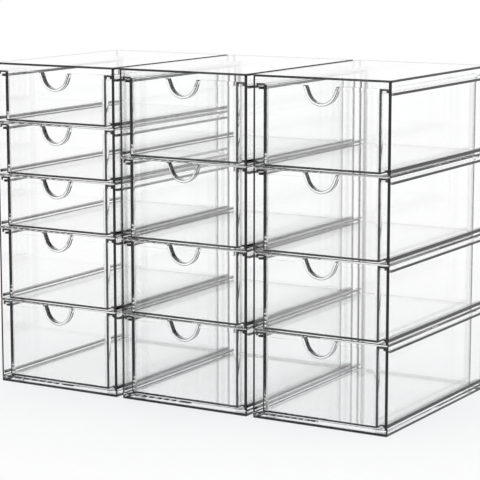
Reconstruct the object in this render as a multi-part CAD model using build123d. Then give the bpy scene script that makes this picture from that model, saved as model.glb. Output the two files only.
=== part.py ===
from build123d import *
import math
import os

# Clear acrylic organizer set: three towers of drawers, side by side.
# Each tower is a plinth, then one bay per drawer: two side walls and a back wall stand on the
# plinth or on the deck below, runners are bonded inside the walls, and a flat deck closes the bay.
# Every drawer hangs by its side flanges on the upper runners and pulls out to the front.
# Frame: X to the right, Y to the back, Z up; origin on the floor under the middle of the set.
# Millimetres.

# ---- the towers
tower_width = 172.0
tower_depth = 260.0
tower_gap = 8.0            # free space between neighbouring towers
corner_radius = 1.5        # outer upright corners of plinths, walls and decks

# ---- bay heights, each from the top of one deck to the top of the next
tall_bay_height = 97.0
medium_bay_height = 90.0
shallow_bay_height = 2 * tall_bay_height / 3  # three shallow bays reach as high as two tall ones
cap_rise = 6.5             # extra height of a tower's top bay, above its drawer

# ---- sheets
deck_thickness = 2.5
wall_thickness = 3.0
edge_round = 0.9           # softened upper and lower rims of the decks

# ---- plinth and its feet
plinth_height = 7.5
plinth_skirt = 4.0
plinth_round = 1.5         # lower outer rim of the skirt
foot_reveal = 1.0          # how far the feet hold the plinth off the floor
foot_diameter = 12.0
foot_inset = 16.0          # foot centre from the plinth's outer faces

# ---- drawers
drawer_side_margin = 12.5  # tower's outer face to the drawer's side
front_thickness = 3.0
drawer_wall = 2.5
drawer_floor = 2.5
drawer_back_space = 6.0    # free space behind a closed drawer
running_clearance = 0.6    # drawer to the decks above and below
inner_radius = 4.0         # inside upright corners of a drawer
front_edge_round = 1.5     # rounded upright edges of the front
bottom_round = 2.0         # rounded lower rim, all round
back_corner_radius = 3.0
brim_height = 5.0          # thicker band along the top of the front, on its inner side
brim_depth = 2.0

# ---- side flanges of a drawer, each ending in a downturned lip
flange_thickness = 2.0
flange_wall_clearance = 0.8
lip_width = 2.5
lip_drop = 2.2             # below the flange
lip_runner_clearance = 0.3

# ---- runners inside the walls
runner_width = 5.0
runner_height = 3.0
runner_setback = 8.0       # behind the tower's front face
runner_end_radius = 2.4
guide_width = 5.0
guide_height = 4.0
guide_lift = 2.0           # lower edge of the guide above the deck
guide_setback = 1.0

# ---- half-moon finger pull in each front, with a raised rim
pull_radius = 20.0
pull_depth = 22.5
pull_flank_degrees = 68.0
pull_rim = 3.2
rim_depth = 7.0            # front to back
rim_proud = 1.2            # rim in front of the panel
rim_tip_round = 1.2
rim_edge_round = 0.6       # rounded front edges of the rim

# ---- the bays of each tower, from the bottom up
towers = {
    "left": [tall_bay_height, medium_bay_height] + 3 * [shallow_bay_height],
    "middle": [tall_bay_height, medium_bay_height] + 2 * [tall_bay_height],
    "right": [tall_bay_height, medium_bay_height] + 2 * [tall_bay_height],
}

# ---- places worked out from the sizes above
tower_pitch = tower_width + tower_gap
plinth_top = foot_reveal + plinth_height
half_width = tower_width / 2
half_depth = tower_depth / 2
wall_inner = half_width - wall_thickness
drawer_half = half_width - drawer_side_margin
drawer_front_y = -half_depth + rim_proud
drawer_back_y = half_depth - wall_thickness - drawer_back_space
flange_reach = wall_inner - flange_wall_clearance

UP = (Align.CENTER, Align.CENTER, Align.MIN)


def block(x0, x1, y0, y1, z0, z1):
    """A box given by its two limits on each axis."""
    corner = (Align.MIN, Align.MIN, Align.MIN)
    return Pos(x0, y0, z0) * Box(x1 - x0, y1 - y0, z1 - z0, align=corner)


def upright_edges(solid, side_x=0, side_y=0):
    """The upright edges of a solid, only those on the named sides of its middle."""
    middle = solid.center(CenterOf.BOUNDING_BOX)
    found = solid.edges().filter_by(Axis.Z)
    if side_x:
        found = found.filter_by(lambda e: (e.center().X - middle.X) * side_x > 0)
    if side_y:
        found = found.filter_by(lambda e: (e.center().Y - middle.Y) * side_y > 0)
    return found


def prism_across(points, y0, y1):
    """An outline in X and Z, drawn out from y0 back to y1."""
    outline = Plane.XZ * make_face(Polyline(*points, close=True))
    return Pos(0, y1, 0) * extrude(outline, amount=y1 - y0)


def deck(z_top):
    """Flat sheet over a bay, with its top face at z_top."""
    plate = Pos(0, 0, z_top - deck_thickness) * Box(tower_width, tower_depth, deck_thickness, align=UP)
    plate = fillet(plate.edges().filter_by(Axis.Z), corner_radius)
    rims = plate.faces().sort_by(Axis.Z)[-1].edges() + plate.faces().sort_by(Axis.Z)[0].edges()
    return fillet(rims, edge_round)


def plinth():
    """Inverted tray under a tower: a top sheet with a skirt all round."""
    outer = Pos(0, 0, foot_reveal) * Box(tower_width, tower_depth, plinth_height, align=UP)
    outer = fillet(outer.edges().filter_by(Axis.Z), corner_radius)
    outer = fillet(outer.faces().sort_by(Axis.Z)[0].edges(), plinth_round)
    recess_height = plinth_height - deck_thickness
    recess = Pos(0, 0, foot_reveal) * Box(
        tower_width - 2 * plinth_skirt, tower_depth - 2 * plinth_skirt, recess_height, align=UP)
    return outer - recess


def feet():
    """Four clear soft feet under the plinth's top sheet."""
    x = half_width - foot_inset
    y = half_depth - foot_inset
    height = foot_reveal + plinth_height - deck_thickness
    foot = Cylinder(foot_diameter / 2, height, align=UP)
    foot = fillet(foot.edges().sort_by(Axis.Z)[0], foot_reveal / 2)
    return [Pos(sx * x, sy * y, 0) * foot for sx in (-1, 1) for sy in (-1, 1)]


def walls(z0, z1):
    """Left wall, right wall and, between them, the back wall of a bay."""
    panels = []
    for side in (-1, 1):
        outer, inner = side * half_width, side * wall_inner
        panel = block(min(outer, inner), max(outer, inner), -half_depth, half_depth, z0, z1)
        panels.append(fillet(upright_edges(panel, side_x=side), corner_radius))
    panels.append(block(-wall_inner, wall_inner, half_depth - wall_thickness, half_depth, z0, z1))
    return panels


def runners(z0, drawer_top):
    """Two upper runners that carry the drawer's lips, and two lower guides beside its floor."""
    top = drawer_top - flange_thickness - lip_drop - lip_runner_clearance
    y_back = half_depth - wall_thickness
    strips = []
    for side in (-1, 1):
        face, edge = side * wall_inner, side * (wall_inner - runner_width)
        strip = block(min(face, edge), max(face, edge),
                      -half_depth + runner_setback, y_back, top - runner_height, top)
        strips.append(fillet(upright_edges(strip, side_x=-side, side_y=-1), runner_end_radius))
        low, high = z0 + guide_lift, z0 + guide_lift + guide_height
        points = [(face, low), (face, high), (side * (wall_inner - guide_width), high)]
        strips.append(prism_across(points, -half_depth + guide_setback, y_back))
    return strips


def pull_shape(inset, z_top):
    """The finger pull's outline in X and Z as a face, drawn in by inset, open above z_top."""
    lean = math.radians(90 - pull_flank_degrees)
    radius = pull_radius - inset
    middle_z = z_top - pull_depth + pull_radius
    tangent_x = radius * math.cos(lean)
    tangent_z = middle_z - radius * math.sin(lean)
    above = z_top + pull_radius
    rim_x = tangent_x + (above - tangent_z) * math.tan(lean)
    arc = ThreePointArc((-tangent_x, tangent_z), (0, middle_z - radius), (tangent_x, tangent_z))
    sides = Polyline((tangent_x, tangent_z), (rim_x, above), (-rim_x, above), (-tangent_x, tangent_z))
    return Plane.XZ * make_face(Curve() + [arc, sides])


def pull_rim_band(z_top):
    """Raised rim round the finger pull, with rounded tips at the top of the front."""
    y1 = drawer_front_y - rim_proud + rim_depth
    outer = Pos(0, y1, 0) * extrude(pull_shape(0, z_top), amount=rim_depth)
    inner = Pos(0, y1, 0) * extrude(pull_shape(pull_rim, z_top), amount=rim_depth)
    above = block(-half_width, half_width, -tower_depth, tower_depth, z_top, z_top + 2 * pull_radius)
    band = outer - inner - above
    tips = band.edges().filter_by(Axis.Y).group_by(Axis.Z)[-1]
    band = fillet(tips, rim_tip_round)
    return fillet(band.faces().sort_by(Axis.Y)[0].edges(), rim_edge_round)


def drawer(z0, z_top):
    """Open box with side flanges, and a front with a half-moon pull."""
    body = block(-drawer_half, drawer_half, drawer_front_y, drawer_back_y, z0, z_top)
    body = fillet(upright_edges(body, side_y=1), back_corner_radius)
    body = fillet(upright_edges(body, side_y=-1), front_edge_round)
    body = fillet(body.faces().sort_by(Axis.Z)[0].edges(), bottom_round)
    inside_half = drawer_half - drawer_wall
    cavity = block(-inside_half, inside_half, drawer_front_y + front_thickness,
                   drawer_back_y - drawer_wall, z0 + drawer_floor, z_top + drawer_floor)
    body -= fillet(upright_edges(cavity), inner_radius)
    brim_y = drawer_front_y + front_thickness
    body += block(-inside_half, inside_half, brim_y, brim_y + brim_depth, z_top - brim_height, z_top)
    for side in (-1, 1):
        edge, reach = side * (drawer_half - drawer_wall), side * flange_reach
        body += block(min(edge, reach), max(edge, reach), drawer_front_y, drawer_back_y - back_corner_radius,
                      z_top - flange_thickness, z_top)
        lip = side * (flange_reach - lip_width)
        body += block(min(lip, reach), max(lip, reach), drawer_front_y, drawer_back_y - back_corner_radius,
                      z_top - flange_thickness - lip_drop, z_top)
    notch_y = drawer_front_y + front_thickness + brim_depth
    notch_run = notch_y - drawer_front_y
    body -= Pos(0, notch_y, 0) * extrude(pull_shape(0, z_top), amount=notch_run)
    return body + pull_rim_band(z_top)


def save(name, shapes, x):
    """Move the shapes of one node to their tower and write them to the node's file."""
    placed = [Pos(x, 0, 0) * shape for shape in shapes]
    export_step(placed[0] if len(placed) == 1 else Compound(children=placed), f"parts/{name}.step")


def tower(name, bays, x):
    """Write every node of one tower, from the feet up."""
    save(f"{name}_feet", feet(), x)
    save(f"{name}_plinth", [plinth()], x)
    floor = plinth_top
    for number, height in enumerate(bays, start=1):
        drawer_top = floor + height - deck_thickness - running_clearance
        rise = cap_rise if number == len(bays) else 0.0
        ceiling = floor + height + rise
        save(f"{name}_walls_{number}", walls(floor, ceiling - deck_thickness), x)
        save(f"{name}_runners_{number}", runners(floor, drawer_top), x)
        save(f"{name}_deck_{number}", [deck(ceiling)], x)
        save(f"{name}_drawer_{number}", [drawer(floor + running_clearance, drawer_top)], x)
        floor = ceiling


os.makedirs("parts", exist_ok=True)
for place, (name, bays) in zip((-1, 0, 1), towers.items()):
    tower(name, bays, place * tower_pitch)
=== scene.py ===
"""Clear acrylic drawer organizer: three towers of pull-out drawers on a plain pale floor.

Every piece keeps its own shape. The acrylic refracts what lies behind it, and its rounded rims and
cut edges read dark through painted shade, by masks that follow each piece's places and normals.
"""

import logging
import math
from dataclasses import dataclass, field
from enum import Enum

import bpy
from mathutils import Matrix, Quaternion, Vector

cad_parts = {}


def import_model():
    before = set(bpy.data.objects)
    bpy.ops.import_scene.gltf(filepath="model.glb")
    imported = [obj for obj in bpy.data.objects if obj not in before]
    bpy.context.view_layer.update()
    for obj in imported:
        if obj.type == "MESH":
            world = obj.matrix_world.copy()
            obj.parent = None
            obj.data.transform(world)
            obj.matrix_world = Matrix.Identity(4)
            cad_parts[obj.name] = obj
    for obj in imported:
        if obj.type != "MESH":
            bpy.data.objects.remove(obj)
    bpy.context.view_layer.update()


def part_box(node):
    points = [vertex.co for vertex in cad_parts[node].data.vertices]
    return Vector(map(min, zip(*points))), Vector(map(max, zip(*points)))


LOG = logging.getLogger("organizer")

Socket = bpy.types.NodeSocket
Node = bpy.types.Node
Place = tuple[float, float, float]
Colour = tuple[float, float, float, float]
Span = tuple[float, float]

WHITE: Colour = (1.0, 1.0, 1.0, 1.0)

# How far inside a tower's outer faces each kind of edge with painted shade begins, in metres
SIDE_FACE_DEPTH = 0.0007   # outer side faces
WALL_DEPTH = 0.0031        # side walls
WING_DEPTH = 0.012         # flanges and lips of the drawers
STILE_DEPTH = 0.0148       # dark stiles at the sides of the drawers' fronts
END_DEPTH = 0.0018         # end faces at the front
ROUND_DEPTH = 0.0032       # rounds at the front
TAIL_DEPTH = 0.0045        # dark ends of the side walls at the back

# Heights, in metres; the foot, sills and bottoms below them take painted shade
SKIRT_FOOT = 0.0038        # the plinth reads dark below this
SILL_HEIGHT = 0.0027       # dark sill over the lowest point of a drawer or lid
BOTTOM_HEIGHT = 0.0035     # a drawer's bottom sheet ends below this, over its lowest point
NO_LEVEL = -1.0            # lowest point of a piece that has no sill and no bottom to mark
LEVEL_DIGITS = 5           # drawers whose lowest points agree to this many digits share a finish

# Parts of a normal, or of its turn away from the axes, between which a mask of painted edge shade
# sets in
TURNED: Span = (0.002, 0.02)
LEANING: Span = (0.02, 0.12)
RIGHTWARD: Span = (0.3, 0.75)
SQUARE: Span = (0.97, 0.995)

# Noise of the effects: scales per metre, and the values between which a noise sets in
# TONE_SCALE and TONE_NOISE make the painted edge shade uneven along each edge's run
TONE_SCALE = 35.0
TONE_NOISE: Span = (0.3, 0.7)
HAIRLINE_SCALE = 60.0
HAIRLINE_STRETCH: Place = (1.0, 9.0, 14.0)
HAIRLINE_WIDTH = 0.012
CLOUD_SCALE = 12.0
CLOUD_NOISE: Span = (0.45, 0.7)
DUST_SCALE = 900.0
DUST_NOISE: Span = (0.7, 0.8)
FLOW_SCALE = 14.0
FLOW_STRETCH: Place = (1.0, 0.6, 1.3)


class EdgeShade(Enum):
    """How dark the painted shade on an edge reads, as the least and the most of it along its run."""

    SOFT = (0.6, 1.0)
    MIDDLE = (0.55, 0.95)
    DEEP = (0.93, 1.0)


class ShadedEdge(Enum):
    """The kinds of edge that can take painted shade, by the name of their share in the shade group.
    """

    FRONT_UPRIGHTS = "Front Uprights"
    INNER_UPRIGHTS = "Inner Uprights"
    BACK_UPRIGHTS = "Back Uprights"
    FRONT_RIMS = "Front Rims"
    SIDE_RIMS = "Side Rims"
    RIGHTWARD_RIMS = "Rightward Rims"
    FRONT_CUT = "Front Cut"
    SIDE_CUT = "Side Cut"
    SILL = "Sill"
    STILES = "Stiles"
    BOTTOM = "Bottom"
    BACK_ENDS = "Back Ends"
    WING_ENDS = "Wing Ends"
    FOOT = "Foot"


Shares = dict[ShadedEdge, float]


@dataclass(frozen=True)
class TowerBox:
    """The outer faces that a tower's edges are measured from, in metres.

    Attributes:
        side: From a tower's middle to its side faces.
        front: Place of its front along Y.
        back: Place of its back along Y.
        pitch: From one tower's middle to the next.
    """

    side: float
    front: float
    back: float
    pitch: float

    @classmethod
    def from_frame(cls) -> "TowerBox":
        """Reads the middle tower's faces, and the way to its neighbour, from the frame."""
        (_, front, _), (side, back, _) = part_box("middle_deck_1")
        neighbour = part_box("right_deck_1")[1][0]
        return cls(side, front, back, neighbour - side)


def new_group(name: str, inputs: list[tuple], outputs: list[tuple]) -> bpy.types.NodeTree:
    """Makes an empty shader node group.

    Args:
        name: The group's name.
        inputs: (name, socket type, default value) of each input.
        outputs: (name, socket type) of each output.

    Returns:
        The group, with one input node and one output node.
    """
    tree = bpy.data.node_groups.new(name, "ShaderNodeTree")
    for label, kind, value in inputs:
        socket = tree.interface.new_socket(name=label, in_out="INPUT", socket_type=kind)
        socket.default_value = value
    for label, kind in outputs:
        tree.interface.new_socket(name=label, in_out="OUTPUT", socket_type=kind)
    tree.nodes.new("NodeGroupInput")
    tree.nodes.new("NodeGroupOutput")
    return tree


@dataclass
class NodeDesk:
    """A short hand for adding and joining the nodes of one node tree."""

    tree: bpy.types.NodeTree

    def add(self, kind: str, **settings: object) -> Node:
        """Adds a node.

        Args:
            kind: Blender's name of the node type.
            settings: Properties to set on the node.

        Returns:
            The new node.
        """
        node = self.tree.nodes.new(kind)
        for key, value in settings.items():
            setattr(node, key, value)
        return node

    def join(self, source: Socket | float | Colour, target: Socket) -> None:
        """Links a socket to an input, or sets the input's own value.

        Args:
            source: The socket to link, or the value to set.
            target: The input.
        """
        if isinstance(source, Socket):
            self.tree.links.new(source, target)
        else:
            target.default_value = source

    def math(self, operation: str, *values: Socket | float, clamp: bool = False) -> Socket:
        """Adds a Math node.

        Args:
            operation: Blender's name of the operation.
            values: Sockets or numbers, in the node's order.
            clamp: Whether the result is kept from 0 to 1.

        Returns:
            The result socket.
        """
        node = self.add("ShaderNodeMath", operation=operation, use_clamp=clamp)
        for value, socket in zip(values, node.inputs):
            self.join(value, socket)
        return node.outputs[0]

    def ramp(self, value: Socket, low: float, high: float, out_low: Socket | float = 0.0,
             out_high: Socket | float = 1.0) -> Socket:
        """Eases a value from the range low..high into out_low..out_high.

        Args:
            value: The socket to map.
            low: Value that gives out_low.
            high: Value that gives out_high.
            out_low: Result at and below low.
            out_high: Result at and above high.

        Returns:
            The mapped socket.
        """
        node = self.add("ShaderNodeMapRange", interpolation_type="SMOOTHSTEP")
        for source, name in ((value, "Value"), (low, "From Min"), (high, "From Max"),
                             (out_low, "To Min"), (out_high, "To Max")):
            self.join(source, node.inputs[name])
        return node.outputs["Result"]

    def mix(self, factor: Socket, first: Socket | Colour, second: Socket | Colour) -> Socket:
        """Mixes two colours.

        Args:
            factor: Share of the second colour.
            first: Colour at a factor of 0.
            second: Colour at a factor of 1.

        Returns:
            The colour socket.
        """
        node = self.add("ShaderNodeMix", data_type="RGBA")
        for source, name in ((factor, "Factor_Float"), (first, "A_Color"), (second, "B_Color")):
            self.join(source, next(s for s in node.inputs if s.identifier == name))
        return next(s for s in node.outputs if s.identifier == "Result_Color")

    def mix_shaders(self, factor: Socket, first: Socket, second: Socket, target: Socket) -> None:
        """Joins a mix of two shaders to an input.

        Args:
            factor: Share of the second shader.
            first: Shader at a factor of 0.
            second: Shader at a factor of 1.
            target: The input that takes the mix.
        """
        mixer = self.add("ShaderNodeMixShader")
        for source, socket in zip((factor, first, second), mixer.inputs):
            self.join(source, socket)
        self.join(mixer.outputs["Shader"], target)

    def noise(self, place: Socket, scale: Socket | float, detail: float = 3.0,
              stretch: Place | None = None) -> Socket:
        """Adds a noise texture.

        Args:
            place: Socket of the position.
            scale: Noise scale, per metre.
            detail: Octaves of the noise.
            stretch: Factor on each axis, or None for an even noise.

        Returns:
            The noise value, from 0 to 1.
        """
        if stretch is not None:
            node = self.add("ShaderNodeVectorMath", operation="MULTIPLY")
            self.join(place, node.inputs[0])
            self.join(stretch, node.inputs[1])
            place = node.outputs[0]
        noise = self.add("ShaderNodeTexNoise")
        self.join(place, noise.inputs["Vector"])
        self.join(scale, noise.inputs["Scale"])
        self.join(detail, noise.inputs["Detail"])
        return noise.outputs["Fac"]

    def bump(self, height: Socket, distance: float, target: Socket) -> None:
        """Joins the normal of a bumpy surface to an input.

        Args:
            height: Socket of the height.
            distance: Real height of a height of 1, in metres.
            target: The input that takes the normal.
        """
        bump = self.add("ShaderNodeBump")
        self.join(1.0, bump.inputs["Strength"])
        self.join(distance, bump.inputs["Distance"])
        self.join(height, bump.inputs["Height"])
        self.join(bump.outputs["Normal"], target)


@dataclass
class Surface:
    """A new material with its desk, its shader and its output.

    Attributes:
        name: The material's name.
        material: The material.
        desk: The desk of its node tree.
        shader: Its Principled node.
        output: Its output node.
    """

    name: str
    material: bpy.types.Material = field(init=False)
    desk: NodeDesk = field(init=False)
    shader: Node = field(init=False)
    output: Node = field(init=False)

    def __post_init__(self) -> None:
        """Makes the material."""
        self.material = bpy.data.materials.new(self.name)
        self.material.use_nodes = True
        self.desk = NodeDesk(self.material.node_tree)
        self.shader = self.material.node_tree.nodes["Principled BSDF"]
        self.output = self.material.node_tree.nodes["Material Output"]

    def set(self, **values: float) -> None:
        """Sets the shader's plain inputs, by their names with an underscore for each space."""
        for name, value in values.items():
            self.shader.inputs[name.replace("_", " ")].default_value = value


class Effects:
    """The shader node groups that the materials share, each built once."""

    def __init__(self, tower: TowerBox) -> None:
        """Builds every group.

        Args:
            tower: The faces that the edges are measured from.
        """
        self._tower = tower
        self._painted_shade = self._painted_edge_shade()
        self._wear = self._hairlines()
        self._flow = self._sheet_flow()

    def painted_shade_mask(self, desk: NodeDesk, tone: EdgeShade, edges: Shares, level: float) -> Socket:
        """Adds the mask of the painted shade on the edges to a material.

        Args:
            desk: The material's desk.
            tone: How dark the painted edge shade reads.
            edges: Share of that tone on each kind of edge.
            level: Height of the piece's lowest point, in metres.

        Returns:
            The mask, from 0 to 1.
        """
        node = desk.add("ShaderNodeGroup", node_tree=self._painted_shade)
        node.inputs["Least"].default_value, node.inputs["Most"].default_value = tone.value
        node.inputs["Level"].default_value = level
        for kind, share in edges.items():
            node.inputs[kind.value].default_value = share
        return node.outputs["Mask"]

    def wear(self, desk: NodeDesk, scale: float) -> tuple[Socket, Socket]:
        """Adds the marks of handling to a material.

        Args:
            desk: The material's desk.
            scale: Noise scale of the hairlines, per metre.

        Returns:
            The height of the hairlines and the mask of the haze.
        """
        node = desk.add("ShaderNodeGroup", node_tree=self._wear)
        node.inputs["Scale"].default_value = scale
        return node.outputs["Height"], node.outputs["Haze"]

    def flow(self, desk: NodeDesk) -> Socket:
        """Adds a sheet's slow waves to a material and returns their height."""
        return desk.add("ShaderNodeGroup", node_tree=self._flow).outputs["Height"]

    @staticmethod
    def _desk(tree: bpy.types.NodeTree) -> tuple[NodeDesk, Node, Node]:
        """The desk of a group, with its input and output nodes."""
        found = {node.type: node for node in tree.nodes}
        return NodeDesk(tree), found["GROUP_INPUT"], found["GROUP_OUTPUT"]

    def _painted_edge_shade(self) -> bpy.types.NodeTree:
        """Builds the painted shade mask of a piece's edges, each kind by its own share, uneven along
        its run.

        Returns:
            The group.
        """
        tree = new_group("painted_edge_shade", [(kind.value, "NodeSocketFloat", 0.0) for kind in ShadedEdge]
                         + [("Least", "NodeSocketFloat", 0.0), ("Most", "NodeSocketFloat", 1.0),
                            ("Level", "NodeSocketFloat", NO_LEVEL)],
                         [("Mask", "NodeSocketFloat")])
        desk, given, out = self._desk(tree)
        texture = desk.add("ShaderNodeTexCoord")
        total: Socket | float = 0.0
        for kind, mask in self._painted_shade_masks(desk, texture, given.outputs["Level"]).items():
            share = desk.math("MULTIPLY", mask, given.outputs[kind.value])
            total = desk.math("ADD", total, share, clamp=True)
        # Painted shade on the edges, made uneven along each run by noise
        varied = desk.ramp(desk.noise(texture.outputs["Object"], TONE_SCALE), *TONE_NOISE,
                           given.outputs["Least"], given.outputs["Most"])
        # A refracting face takes the root of its colour, so the clear part is squared
        clear = desk.math("SUBTRACT", 1.0, desk.math("MULTIPLY", total, varied))
        desk.join(desk.math("SUBTRACT", 1.0, desk.math("MULTIPLY", clear, clear)), out.inputs["Mask"])
        return tree

    def _painted_shade_masks(self, desk: NodeDesk, texture: Node, lowest: Socket) -> dict[ShadedEdge, Socket]:
        """Adds the painted shade mask of each kind of edge, from places and normals in the piece's
        own space.

        Args:
            desk: The desk of the group.
            texture: Its Texture Coordinate node.
            lowest: Height of the piece's lowest point.

        Returns:
            A mask from 0 to 1 for each kind.
        """
        tower = self._tower
        normal, spot = desk.add("ShaderNodeSeparateXYZ"), desk.add("ShaderNodeSeparateXYZ")
        desk.join(texture.outputs["Normal"], normal.inputs[0])
        desk.join(texture.outputs["Object"], spot.inputs[0])
        nx, ny, nz = (desk.math("ABSOLUTE", part) for part in normal.outputs)
        x, y, z = spot.outputs
        aside = desk.math("ABSOLUTE", desk.math("WRAP", x, tower.pitch / 2, -tower.pitch / 2))
        above = desk.math("SUBTRACT", z, lowest)

        def past(depth: float) -> Socket:
            """Mask of what lies less than a depth inside the side faces."""
            return desk.math("GREATER_THAN", aside, tower.side - depth)

        def both(first: Socket, second: Socket) -> Socket:
            """Mask of what lies in both masks."""
            return desk.math("MULTIPLY", first, second)

        def but(first: Socket | float, second: Socket) -> Socket:
            """What is left of a mask without another that lies in it."""
            return desk.math("SUBTRACT", first, second)

        ends = desk.math("LESS_THAN", y, tower.front + END_DEPTH)
        rounds = desk.math("LESS_THAN", y, tower.front + ROUND_DEPTH)
        tails = desk.math("GREATER_THAN", y, tower.back - TAIL_DEPTH)
        turned = desk.ramp(but(1.0, desk.math("MAXIMUM", nx, desk.math("MAXIMUM", ny, nz))), *TURNED)
        lengthwise, level = desk.ramp(ny, *LEANING), desk.ramp(nz, *LEANING)
        upright, tilted = both(turned, but(1.0, level)), both(turned, level)
        sideways = both(tilted, but(1.0, lengthwise))
        return {
            ShadedEdge.FRONT_UPRIGHTS: both(upright, rounds),
            ShadedEdge.INNER_UPRIGHTS: both(upright, but(desk.math("LESS_THAN", y, 0.0), rounds)),
            ShadedEdge.BACK_UPRIGHTS: both(upright, desk.math("GREATER_THAN", y, 0.0)),
            ShadedEdge.FRONT_RIMS: both(tilted, lengthwise),
            ShadedEdge.SIDE_RIMS: sideways,
            ShadedEdge.RIGHTWARD_RIMS: both(sideways, desk.ramp(normal.outputs["X"], *RIGHTWARD)),
            ShadedEdge.FRONT_CUT: both(desk.ramp(ny, *SQUARE), ends),
            ShadedEdge.SIDE_CUT: past(SIDE_FACE_DEPTH),
            ShadedEdge.SILL: both(desk.math("LESS_THAN", above, SILL_HEIGHT), ends),
            ShadedEdge.STILES: both(past(STILE_DEPTH), ends),
            ShadedEdge.BOTTOM: both(desk.ramp(nz, *SQUARE), desk.math("LESS_THAN", above, BOTTOM_HEIGHT)),
            ShadedEdge.BACK_ENDS: both(past(WALL_DEPTH), tails),
            ShadedEdge.WING_ENDS: both(past(WING_DEPTH), ends),
            ShadedEdge.FOOT: desk.math("LESS_THAN", z, SKIRT_FOOT),
        }

    def _hairlines(self) -> bpy.types.NodeTree:
        """Builds fine hairline scratches from handling, as a height, and a haze of dust, as a mask.

        Returns:
            The group.
        """
        tree = new_group("hairlines", [("Scale", "NodeSocketFloat", HAIRLINE_SCALE)],
                         [("Height", "NodeSocketFloat"), ("Haze", "NodeSocketFloat")])
        desk, given, out = self._desk(tree)
        place = desk.add("ShaderNodeTexCoord").outputs["Object"]
        lines = desk.noise(place, given.outputs["Scale"], 2.0, HAIRLINE_STRETCH)
        middle = desk.math("ABSOLUTE", desk.math("SUBTRACT", lines, 0.5))
        thin = desk.ramp(middle, 0.0, HAIRLINE_WIDTH, 1.0, 0.0)
        clouds = desk.ramp(desk.noise(place, CLOUD_SCALE), *CLOUD_NOISE)
        dust = desk.ramp(desk.noise(place, DUST_SCALE, 1.0), *DUST_NOISE)
        desk.join(desk.math("MULTIPLY", thin, clouds), out.inputs["Height"])
        desk.join(desk.math("MULTIPLY", dust, clouds), out.inputs["Haze"])
        return tree

    def _sheet_flow(self) -> bpy.types.NodeTree:
        """Builds the slow waves of a moulded sheet, as a height.

        Returns:
            The group.
        """
        tree = new_group("sheet_flow", [], [("Height", "NodeSocketFloat")])
        desk, _, out = self._desk(tree)
        place = desk.add("ShaderNodeTexCoord").outputs["Object"]
        desk.join(desk.noise(place, FLOW_SCALE, 1.0, FLOW_STRETCH), out.inputs["Height"])
        return tree


@dataclass(frozen=True)
class Acrylic:
    """Crystal clear acrylic whose rounded rims and cut edges read dark through painted shade.

    Attributes:
        name: The material's name.
        edges: Share of the painted shade on each kind of edge.
        tone: How dark the painted edge shade reads.
        level: Height of the piece's lowest point, for the painted shade of its sill and bottom, in
            metres.
        wave: Height of the sheet's slow waves, in metres.
        clear: Colour of the clear faces.
        edge: Colour of the painted shade on the rims and cut edges.
        dust: Colour of the dust.
        dust_share: How much of the dust's colour shows.
        dust_roughness: Roughness where the dust lies.
        scratch: Depth of the hairlines, in metres.
        ior: Index of refraction.
        passing: Colour of the light that falls through one face.
    """

    name: str
    edges: Shares
    tone: EdgeShade = EdgeShade.DEEP
    level: float = NO_LEVEL
    wave: float = 0.0
    clear: Colour = (0.998, 0.999, 0.999, 1.0)
    edge: Colour = (0.004, 0.004, 0.005, 1.0)
    dust: Colour = (0.8, 0.81, 0.82, 1.0)
    dust_share: float = 0.12
    dust_roughness: float = 0.02
    scratch: float = 1e-7
    ior: float = 1.49
    passing: Colour = (0.985, 0.987, 0.988, 1.0)

    def build(self, effects: Effects) -> bpy.types.Material:
        """Builds the material from the shared groups.

        Args:
            effects: The shared shader node groups.

        Returns:
            The material.
        """
        surface = Surface(self.name)
        desk, inputs = surface.desk, surface.shader.inputs
        # The mask paints shade on the rims and cut edges, mixed into the clear colour below
        mask = effects.painted_shade_mask(desk, self.tone, self.edges, self.level)
        hairlines, haze = effects.wear(desk, HAIRLINE_SCALE)
        colour = desk.mix(mask, self.clear, self.edge)
        desk.join(desk.mix(desk.math("MULTIPLY", haze, self.dust_share), colour, self.dust),
                  inputs["Base Color"])
        desk.join(desk.math("MULTIPLY", haze, self.dust_roughness), inputs["Roughness"])
        waves = desk.math("MULTIPLY", effects.flow(desk), self.wave)
        scratches = desk.math("MULTIPLY", hairlines, self.scratch)
        desk.bump(desk.math("ADD", waves, scratches), 1.0, inputs["Normal"])
        surface.set(Transmission_Weight=1.0, IOR=self.ior)
        self._let_light_through(surface)
        return surface.material

    def _let_light_through(self, surface: Surface) -> None:
        """Lets lamp light and diffuse light pass straight through, so the sheets' shadows are pale.

        Args:
            surface: The material to finish.
        """
        desk = surface.desk
        path = desk.add("ShaderNodeLightPath")
        through = desk.add("ShaderNodeBsdfTransparent")
        desk.join(self.passing, through.inputs["Color"])
        is_light = desk.math("MAXIMUM", path.outputs["Is Shadow Ray"], path.outputs["Is Diffuse Ray"])
        desk.mix_shaders(is_light, surface.shader.outputs["BSDF"], through.outputs["BSDF"],
                         surface.output.inputs["Surface"])


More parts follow.
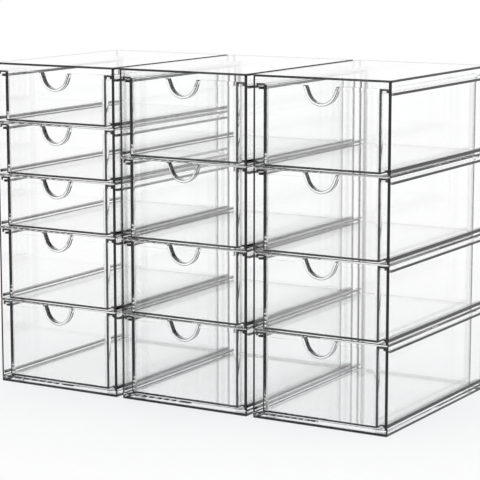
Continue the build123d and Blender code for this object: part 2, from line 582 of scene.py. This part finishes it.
@dataclass(frozen=True)
class Silicone:
    """Soft, slightly milky silicone with a fine grain and painted shade on its rims.

    Attributes:
        name: The material's name.
        pale: Colour of the faces.
        grey: Colour of the painted shade on the rims.
        rim_share: How much of the grey the rims take.
        grain_scale: Noise scale of the grain, per metre.
        grain_height: Height of the grain, in metres.
        roughness: Roughness of the clean and of the dusty surface.
        clearness: Share of the light that passes into the silicone.
        ior: Index of refraction.
    """

    name: str = "foot_silicone"
    pale: Colour = (0.9, 0.91, 0.92, 1.0)
    grey: Colour = (0.7, 0.71, 0.72, 1.0)
    rim_share: float = 0.5
    grain_scale: float = 220.0
    grain_height: float = 5e-5
    roughness: Span = (0.3, 0.5)
    clearness: float = 0.6
    ior: float = 1.41

    def build(self, effects: Effects) -> bpy.types.Material:
        """Builds the material from the shared groups.

        Args:
            effects: The shared shader node groups.

        Returns:
            The material.
        """
        surface = Surface(self.name)
        desk, inputs = surface.desk, surface.shader.inputs
        grain, haze = effects.wear(desk, self.grain_scale)
        # The rims take painted shade, a grey from the shared edge mask.
        rims = effects.painted_shade_mask(desk, EdgeShade.SOFT, {ShadedEdge.FRONT_RIMS: self.rim_share}, NO_LEVEL)
        desk.join(desk.mix(rims, self.pale, self.grey), inputs["Base Color"])
        desk.join(desk.ramp(haze, 0.0, 1.0, *self.roughness), inputs["Roughness"])
        desk.bump(grain, self.grain_height, inputs["Normal"])
        surface.set(Transmission_Weight=self.clearness, IOR=self.ior)
        return surface.material


class Finishes:
    """Every finish of the set, built once and handed to the pieces by name."""

    def __init__(self) -> None:
        """Builds the shared groups and the materials of the fixed pieces."""
        self._effects = Effects(TowerBox.from_frame())
        # Each finish lists which edges take painted shade, and how much of it.
        self.wall = self._acrylic("wall_acrylic", {
            ShadedEdge.FRONT_UPRIGHTS: 1.0, ShadedEdge.FRONT_CUT: 1.0, ShadedEdge.BACK_ENDS: 0.75})
        self.deck = self._acrylic("deck_acrylic", {
            ShadedEdge.FRONT_UPRIGHTS: 1.0, ShadedEdge.SIDE_RIMS: 1.0, ShadedEdge.BACK_UPRIGHTS: 0.5})
        self.lid = self._acrylic("lid_acrylic", {
            ShadedEdge.FRONT_UPRIGHTS: 1.0, ShadedEdge.SIDE_RIMS: 1.0, ShadedEdge.FRONT_RIMS: 1.0,
            ShadedEdge.FRONT_CUT: 1.0, ShadedEdge.SIDE_CUT: 1.0, ShadedEdge.SILL: 1.0},
            level=lowest_point("right_deck_4"))
        self.plinth = self._acrylic("plinth_acrylic", {ShadedEdge.FRONT_UPRIGHTS: 1.0, ShadedEdge.FOOT: 1.0})
        self.runner = self._acrylic("runner_acrylic", {
            ShadedEdge.INNER_UPRIGHTS: 1.0, ShadedEdge.FRONT_CUT: 1.0, ShadedEdge.SIDE_RIMS: 0.6}, tone=EdgeShade.MIDDLE)
        self.foot = Silicone().build(self._effects)
        self._drawers: dict[float, bpy.types.Material] = {}

    def _acrylic(self, name: str, edges: Shares, **fields: EdgeShade | float) -> bpy.types.Material:
        """Builds one acrylic finish."""
        return Acrylic(name, edges, **fields).build(self._effects)

    def drawer(self, level: float) -> bpy.types.Material:
        """Finds or builds the finish that the drawers of one level share.

        Args:
            level: Height of their lowest point, in metres.

        Returns:
            The material.
        """
        key = round(level, LEVEL_DIGITS)
        # A drawer's rims, stiles, sill and bottom take painted shade.
        if key not in self._drawers:
            self._drawers[key] = self._acrylic(f"drawer_acrylic_{len(self._drawers) + 1}", {
                ShadedEdge.FRONT_UPRIGHTS: 1.0, ShadedEdge.INNER_UPRIGHTS: 0.08, ShadedEdge.BACK_UPRIGHTS: 0.3,
                ShadedEdge.FRONT_RIMS: 1.0, ShadedEdge.SIDE_RIMS: 0.3, ShadedEdge.RIGHTWARD_RIMS: 0.7,
                ShadedEdge.WING_ENDS: 1.0, ShadedEdge.SILL: 1.0, ShadedEdge.STILES: 1.0, ShadedEdge.BOTTOM: 0.045},
                level=level, wave=1e-6)
        return self._drawers[key]


def lowest_point(node: str) -> float:
    """Height of a node's lowest point, in metres."""
    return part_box(node)[0][2]


def paint(node: str, material: bpy.types.Material) -> None:
    """Gives a node of the frame one material.

    Args:
        node: The node's name.
        material: The material.
    """
    slots = bpy.data.objects[node].data.materials
    slots.clear()
    slots.append(material)
    LOG.info("%s: %s", node, material.name)


@dataclass
class Bay:
    """One bay of a tower: its walls, its runners, the deck over it and its drawer.

    Attributes:
        tower: The tower's name.
        number: The bay's number, from the bottom up.
        is_top: Whether its deck is the tower's lid.
    """

    tower: str
    number: int
    is_top: bool = False

    def dress(self, finishes: Finishes) -> None:
        """Gives each of the bay's nodes its finish.

        Args:
            finishes: The set's finishes.
        """
        drawer_level = lowest_point(f"{self.tower}_drawer_{self.number}")
        for part, material in (("walls", finishes.wall), ("runners", finishes.runner),
                               ("deck", finishes.lid if self.is_top else finishes.deck),
                               ("drawer", finishes.drawer(drawer_level))):
            paint(f"{self.tower}_{part}_{self.number}", material)


@dataclass
class Tower:
    """One tower: feet, plinth and its bays from the bottom up.

    Attributes:
        name: The tower's name.
        bays: How many bays it has.
    """

    name: str
    bays: int

    def dress(self, finishes: Finishes) -> None:
        """Gives each node of the tower its finish.

        Args:
            finishes: The set's finishes.
        """
        paint(f"{self.name}_feet", finishes.foot)
        paint(f"{self.name}_plinth", finishes.plinth)
        for number in range(1, self.bays + 1):
            Bay(self.name, number, number == self.bays).dress(finishes)
        LOG.info("tower %s dressed, %d bays", self.name, self.bays)


@dataclass
class Organizer:
    """The whole set of towers."""

    towers: list[Tower] = field(default_factory=lambda: [
        Tower("left", 5), Tower("middle", 4), Tower("right", 4)])

    def dress(self, finishes: Finishes) -> None:
        """Dresses every tower."""
        for tower in self.towers:
            tower.dress(finishes)


@dataclass
class Studio:
    """Plain white floor, soft even light and the light's paths.

    Attributes:
        sky_light: Strength of the surroundings as light on surfaces.
        sky_seen: Strength of the surroundings as they are seen, also through the sheets.
        floor_size: Side of the square floor, in metres.
        floor_colours: The two whites that the floor's grain runs between.
        floor_grain: Noise scale of that grain, per metre.
        floor_roughness: Roughness of the floor.
        shadow_reach: Distances from the middle between which the floor turns to plain white.
        lamp_power: Power of the soft lamp, in watts.
        lamp_size: Side of the square lamp, in metres.
        lamp_place: Where the lamp hangs, in metres.
        lamp_aim: The point that it faces, in metres.
        bounces: How often light of each kind is followed, by Cycles' own names.
    """

    sky_light: float = 0.9
    sky_seen: float = 1.0
    floor_size: float = 16.0
    floor_colours: tuple[Colour, Colour] = ((0.99, 0.99, 0.99, 1.0), (0.975, 0.975, 0.977, 1.0))
    floor_grain: float = 3.0
    floor_roughness: float = 0.8
    shadow_reach: Span = (0.4, 1.1)
    lamp_power: float = 12.0
    lamp_size: float = 2.0
    lamp_place: Place = (1.2, -1.6, 2.2)
    lamp_aim: Place = (0.0, 0.0, 0.2)
    bounces: dict[str, int] = field(default_factory=lambda: {
        "max_bounces": 64, "transmission_bounces": 64, "transparent_max_bounces": 96,
        "glossy_bounces": 24, "diffuse_bounces": 3})

    def build(self) -> None:
        """Builds the world, the floor and the lamp, and sets how far light is followed."""
        scene = bpy.context.scene
        scene.view_settings.view_transform = "Standard"
        for name, count in self.bounces.items():
            setattr(scene.cycles, name, count)
        self._world(scene)
        self._floor(scene)
        self._lamp(scene)
        LOG.info("studio built")

    def _world(self, scene: bpy.types.Scene) -> None:
        """Builds white surroundings, a little dimmer as light on surfaces than as they are seen.

        Args:
            scene: The scene that they go into.
        """
        world = bpy.data.worlds.new("surroundings")
        world.use_nodes = True
        scene.world = world
        world.node_tree.nodes.clear()
        desk = NodeDesk(world.node_tree)
        path = desk.add("ShaderNodeLightPath").outputs
        seen = desk.math("MAXIMUM", path["Is Camera Ray"], desk.math(
            "MAXIMUM", path["Is Transmission Ray"], path["Is Glossy Ray"]))
        lit, shown = desk.add("ShaderNodeBackground"), desk.add("ShaderNodeBackground")
        for background, strength in ((lit, self.sky_light), (shown, self.sky_seen)):
            desk.join(WHITE, background.inputs["Color"])
            desk.join(strength, background.inputs["Strength"])
        output = desk.add("ShaderNodeOutputWorld")
        desk.mix_shaders(seen, lit.outputs[0], shown.outputs[0], output.inputs["Surface"])

    def _floor(self, scene: bpy.types.Scene) -> None:
        """Builds a wide pale floor that keeps the object's shadow.

        Args:
            scene: The scene that it goes into.
        """
        half = self.floor_size / 2
        mesh = bpy.data.meshes.new("studio_floor")
        corners = [(-half, -half, 0.0), (half, -half, 0.0), (half, half, 0.0), (-half, half, 0.0)]
        mesh.from_pydata(corners, [], [(0, 1, 2, 3)])
        floor = bpy.data.objects.new("studio_floor", mesh)
        scene.collection.objects.link(floor)
        surface = Surface("studio_floor")
        desk = surface.desk
        place = desk.add("ShaderNodeTexCoord").outputs["Object"]
        grain = desk.noise(place, self.floor_grain)
        desk.join(desk.mix(grain, *self.floor_colours), surface.shader.inputs["Base Color"])
        surface.set(Roughness=self.floor_roughness, Specular_IOR_Level=0.0)
        away = desk.add("ShaderNodeVectorMath", operation="LENGTH")
        desk.join(place, away.inputs[0])
        far = desk.ramp(away.outputs["Value"], *self.shadow_reach)
        glow = desk.add("ShaderNodeEmission")
        desk.mix_shaders(far, surface.shader.outputs["BSDF"], glow.outputs["Emission"],
                         surface.output.inputs["Surface"])
        mesh.materials.append(surface.material)

    def _lamp(self, scene: bpy.types.Scene) -> None:
        """Hangs one large soft lamp to the front right.

        Args:
            scene: The scene that it goes into.
        """
        light = bpy.data.lights.new("soft_lamp", "AREA")
        light.energy = self.lamp_power
        light.size = self.lamp_size
        lamp = bpy.data.objects.new("soft_lamp", light)
        scene.collection.objects.link(lamp)
        lamp.location = self.lamp_place
        lamp.rotation_mode = "QUATERNION"
        lamp.rotation_quaternion = facing(Vector(self.lamp_aim) - lamp.location)


@dataclass
class Viewpoint:
    """The photograph's camera.

    Attributes:
        place: Camera location, in metres.
        turn: Turn to the left of straight back, in degrees.
        dip: Tilt below the horizon, in degrees.
        lens: Focal length, in millimetres.
        sensor: Width of the sensor, in millimetres.
    """

    place: Place = (1.1943, -2.0193, 0.5695)
    turn: float = 30.594
    dip: float = 9.383
    lens: float = 146.69
    sensor: float = 36.0

    def build(self) -> None:
        """Places the camera and makes it the scene's own."""
        data = bpy.data.cameras.new("viewpoint")
        data.lens = self.lens
        data.sensor_width = self.sensor
        camera = bpy.data.objects.new("viewpoint", data)
        bpy.context.scene.collection.objects.link(camera)
        turn, dip = math.radians(self.turn), math.radians(self.dip)
        level = math.cos(dip)
        camera.location = self.place
        camera.rotation_mode = "QUATERNION"
        camera.rotation_quaternion = facing(
            Vector((-math.sin(turn) * level, math.cos(turn) * level, -math.sin(dip))))
        bpy.context.scene.camera = camera
        LOG.info("camera placed")


def facing(way: Vector) -> Quaternion:
    """The turn of a lamp or camera that faces that way, with its top up."""
    return way.to_track_quat("-Z", "Y")


def main() -> None:
    """Builds the scene in order."""
    logging.basicConfig(level=logging.INFO, format="%(name)s: %(message)s")
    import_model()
    Viewpoint().build()
    Studio().build()
    Organizer().dress(Finishes())


if __name__ == "__main__":
    main()
